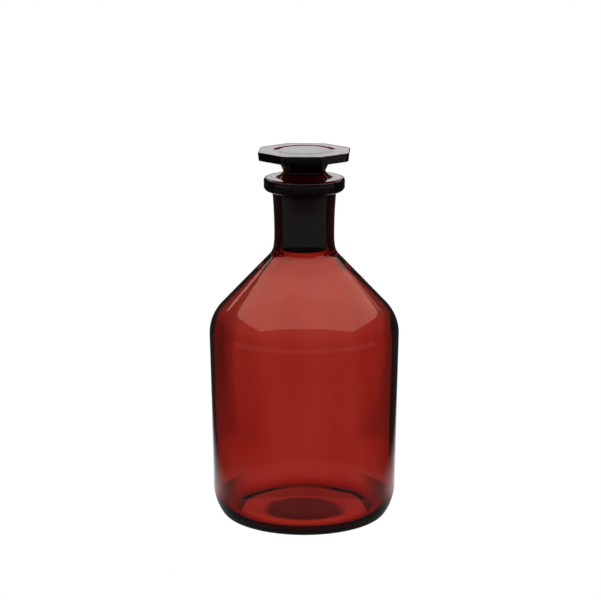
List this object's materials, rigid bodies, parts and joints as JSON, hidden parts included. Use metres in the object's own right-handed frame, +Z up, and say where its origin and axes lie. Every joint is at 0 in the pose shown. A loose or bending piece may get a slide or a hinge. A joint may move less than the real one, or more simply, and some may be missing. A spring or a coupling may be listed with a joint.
{
  "type": "reagent bottle",
  "caption": "Narrow-neck cylindrical glass bottle with a conical shoulder, a double-bead lip and a solid ground-in stopper with a flat octagonal head.",
  "frame": {"origin": "middle of the base, level with the flat ring that the bottle stands on", "axes": "+Z up along the bottle's axis, towards the stopper; -Y is the side seen from the front"},
  "size_m": [0.086, 0.086, 0.1688],
  "materials": {
    "bottle_glass": "smooth blown soda-lime glass, red-brown all through, with the neck's bore ground matt",
    "stopper_glass": "pressed glass of the same red-brown, nearly black because it is solid, with the plug ground matt"
  },
  "bodies": {
    "bottle": {"bottle": "bottle_glass"},
    "stopper": {"stopper": "stopper_glass"}
  },
  "joints": [
    {"name": "stopper_lift", "type": "slide", "parent": "bottle", "child": "stopper", "axis": [0, 0, 1], "range_m": [0, 0.06]}
  ]
}
